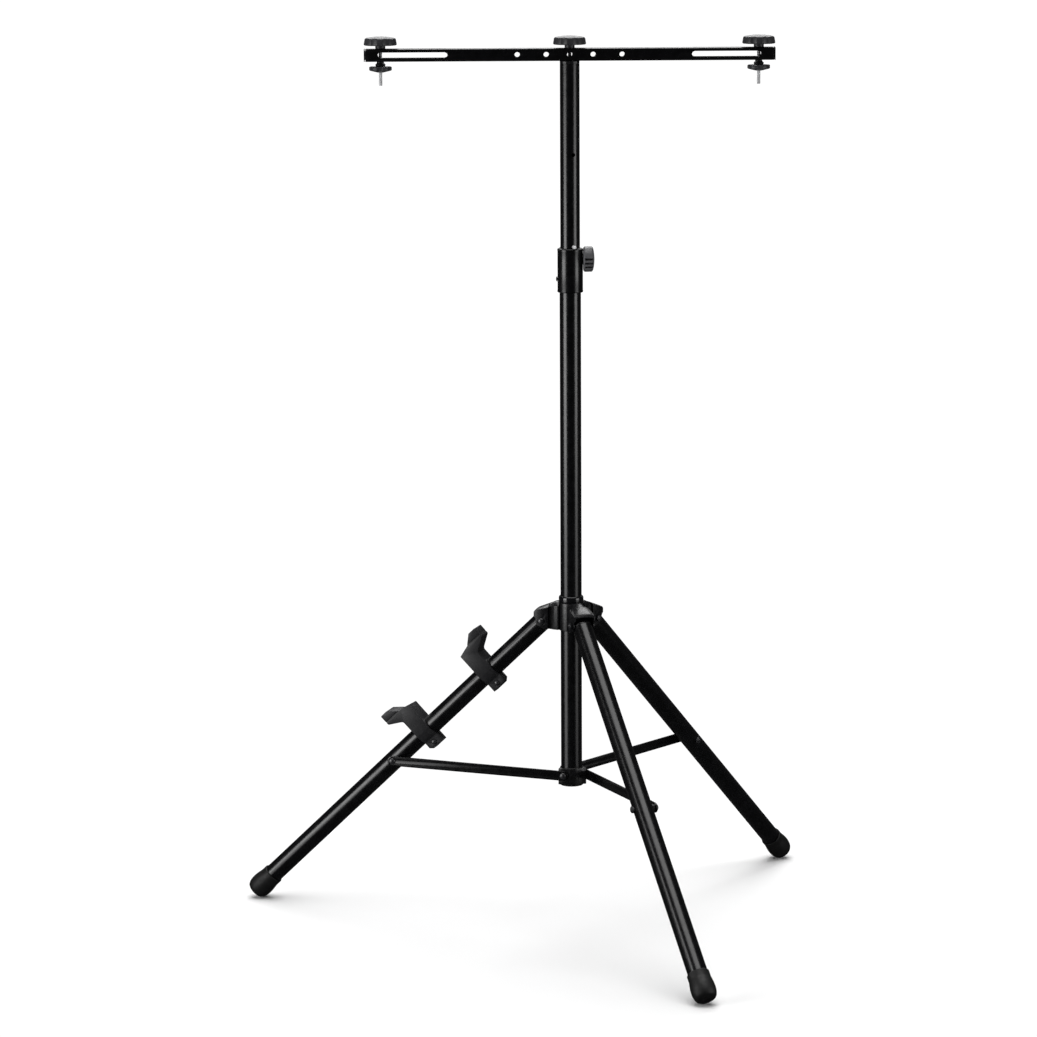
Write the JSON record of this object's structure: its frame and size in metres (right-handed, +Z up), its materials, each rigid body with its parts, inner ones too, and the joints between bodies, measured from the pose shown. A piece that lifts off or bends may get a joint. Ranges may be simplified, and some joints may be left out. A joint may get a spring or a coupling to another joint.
{
  "type": "light tripod",
  "caption": "Folding work-light tripod with a telescopic mast, a slotted lamp crossbar with hand-knob clamps, braced legs and cable hooks.",
  "frame": {"origin": "on the floor, at the middle of the bounding box of the standing tripod", "axes": "+Z up along the mast, +X along the crossbar, the first leg towards -X"},
  "size_m": [0.9474, 0.9626, 1.474],
  "materials": {
    "powder_coat": "gloss black powder coat",
    "cast_coat": "satin black coat on a sand casting",
    "moulded_plastic": "fine-grained charcoal",
    "nylon": "smooth black",
    "rubber": "matt black",
    "zinc_steel": "bright zinc plate",
    "brass": "turned"
  },
  "bodies": {
    "mast": {"mast_lower_tube": "powder_coat", "clamp_collar": "powder_coat", "collar_rivet": "zinc_steel", "clamp_pad": "brass", "base_bracket": "cast_coat", "brace_inner_bolt_1": "powder_coat", "brace_inner_bolt_2": "powder_coat", "brace_inner_bolt_3": "powder_coat"},
    "collar_knob": {"clamp_knob_grip": "moulded_plastic", "clamp_knob_stud": "zinc_steel"},
    "upper_mast": {"mast_upper_tube": "powder_coat", "mast_top_plug": "nylon", "upper_tube_guide": "nylon"},
    "safety_pin_body": {"safety_pin": "zinc_steel", "safety_pin_ring": "zinc_steel"},
    "crossbar": {"crossbar_tube": "powder_coat", "bar_end_cap_left": "nylon", "bar_end_cap_right": "nylon"},
    "centre_knob": {"centre_knob_grip": "moulded_plastic", "centre_knob_stud": "zinc_steel"},
    "left_clamp": {"left_clamp_spacer": "rubber"},
    "left_knob": {"left_knob_grip": "moulded_plastic", "left_knob_stud": "zinc_steel"},
    "left_nut": {"left_star_nut": "moulded_plastic"},
    "right_clamp": {"right_clamp_spacer": "rubber"},
    "right_knob": {"right_knob_grip": "moulded_plastic", "right_knob_stud": "zinc_steel"},
    "right_nut": {"right_star_nut": "moulded_plastic"},
    "hub": {"hub_casting": "cast_coat", "hub_bush": "nylon", "leg_pivot_bolt_1": "zinc_steel", "leg_pivot_bolt_2": "zinc_steel", "leg_pivot_bolt_3": "zinc_steel"},
    "hub_knob": {"hub_knob_grip": "moulded_plastic", "hub_knob_stud": "zinc_steel"},
    "leg_1": {"leg_1_tube": "powder_coat", "leg_1_end_fitting": "nylon", "leg_1_foot": "rubber", "leg_1_brace_spacer": "nylon", "leg_1_brace_nut": "zinc_steel", "cable_hook_upper": "moulded_plastic", "cable_hook_lower": "moulded_plastic", "hook_bolt_upper": "zinc_steel", "hook_bolt_lower": "zinc_steel"},
    "brace_1": {"brace_1_strip": "powder_coat", "brace_1_outer_bolt": "powder_coat"},
    "leg_2": {"leg_2_tube": "powder_coat", "leg_2_end_fitting": "nylon", "leg_2_foot": "rubber", "leg_2_brace_spacer": "nylon", "leg_2_brace_nut": "zinc_steel"},
    "brace_2": {"brace_2_strip": "powder_coat", "brace_2_outer_bolt": "powder_coat"},
    "leg_3": {"leg_3_tube": "powder_coat", "leg_3_end_fitting": "nylon", "leg_3_foot": "rubber", "leg_3_brace_spacer": "nylon", "leg_3_brace_nut": "zinc_steel"},
    "brace_3": {"brace_3_strip": "powder_coat", "brace_3_outer_bolt": "powder_coat"}
  },
  "joints": [
    {"name": "mast_extend", "type": "slide", "parent": "mast", "child": "upper_mast", "axis": [0, 0, 1], "range_m": [0, 0.43]},
    {"name": "pin_pull", "type": "slide", "parent": "upper_mast", "child": "safety_pin_body", "axis": [-0.3469, 0.9379, 0], "range_m": [0, 0.041]},
    {"name": "bar_swivel", "type": "hinge", "parent": "upper_mast", "child": "crossbar", "pos_m": [0.07654, 0.05627, 1.43359], "axis": [0, 0, 1], "continuous": true},
    {"name": "centre_knob_turn", "type": "hinge", "parent": "crossbar", "child": "centre_knob", "pos_m": [0.07654, 0.05627, 1.45439], "axis": [0, 0, 1], "continuous": true},
    {"name": "left_clamp_slide", "type": "slide", "parent": "crossbar", "child": "left_clamp", "axis": [1, 0, 0], "range_m": [0, 0.1044]},
    {"name": "left_knob_turn", "type": "hinge", "parent": "left_clamp", "child": "left_knob", "pos_m": [-0.23036, 0.05627, 1.45439], "axis": [0, 0, 1], "continuous": true},
    {"name": "left_nut_turn", "type": "hinge", "parent": "left_clamp", "child": "left_nut", "pos_m": [-0.23036, 0.05627, 1.42579], "axis": [0, 0, 1], "continuous": true},
    {"name": "right_clamp_slide", "type": "slide", "parent": "crossbar", "child": "right_clamp", "axis": [-1, 0, 0], "range_m": [0, 0.1044]},
    {"name": "right_knob_turn", "type": "hinge", "parent": "right_clamp", "child": "right_knob", "pos_m": [0.38344, 0.05627, 1.45439], "axis": [0, 0, 1], "continuous": true},
    {"name": "right_nut_turn", "type": "hinge", "parent": "right_clamp", "child": "right_nut", "pos_m": [0.38344, 0.05627, 1.42579], "axis": [0, 0, 1], "continuous": true},
    {"name": "collar_knob_turn", "type": "hinge", "parent": "mast", "child": "collar_knob", "pos_m": [0.07654, 0.05627, 1.11059], "axis": [1, 0, 0], "continuous": true},
    {"name": "hub_slide", "type": "slide", "parent": "mast", "child": "hub", "axis": [0, 0, 1], "range_m": [0, 0.39589]},
    {"name": "hub_knob_turn", "type": "hinge", "parent": "hub", "child": "hub_knob", "pos_m": [0.07654, 0.05627, 0.51479], "axis": [-0.2639, 0.9646, 0], "continuous": true},
    {"name": "leg_1_fold", "type": "hinge", "parent": "hub", "child": "leg_1", "pos_m": [0.03176, 0.06949, 0.50879], "axis": [-0.2832, -0.9591, 0], "range_deg": [0, 43.5]},
    {"name": "brace_1_fold", "type": "hinge", "parent": "mast", "child": "brace_1", "pos_m": [0.06791, 0.05881, 0.24879], "axis": [0.2832, 0.9591, 0], "range_deg": [0, 78.1]},
    {"name": "leg_2_fold", "type": "hinge", "parent": "hub", "child": "leg_2", "pos_m": [0.09294, 0.01254, 0.50879], "axis": [0.9364, 0.351, 0], "range_deg": [0, 43.5]},
    {"name": "brace_2_fold", "type": "hinge", "parent": "mast", "child": "brace_2", "pos_m": [0.0797, 0.04784, 0.24879], "axis": [-0.9364, -0.351, 0], "range_deg": [0, 78.1]},
    {"name": "leg_3_fold", "type": "hinge", "parent": "hub", "child": "leg_3", "pos_m": [0.10836, 0.09045, 0.50879], "axis": [-0.7319, 0.6814, 0], "range_deg": [0, 43.5]},
    {"name": "brace_3_fold", "type": "hinge", "parent": "mast", "child": "brace_3", "pos_m": [0.08268, 0.06285, 0.24879], "axis": [0.7319, -0.6814, 0], "range_deg": [0, 78.1]}
  ],
  "couplings": [
    {"joint": "leg_1_fold", "follows": "hub_slide", "rad_per_m": 1.9177},
    {"joint": "brace_1_fold", "follows": "hub_slide", "rad_per_m": 3.4433},
    {"joint": "leg_2_fold", "follows": "hub_slide", "rad_per_m": 1.9177},
    {"joint": "brace_2_fold", "follows": "hub_slide", "rad_per_m": 3.4433},
    {"joint": "leg_3_fold", "follows": "hub_slide", "rad_per_m": 1.9177},
    {"joint": "brace_3_fold", "follows": "hub_slide", "rad_per_m": 3.4433}
  ]
}
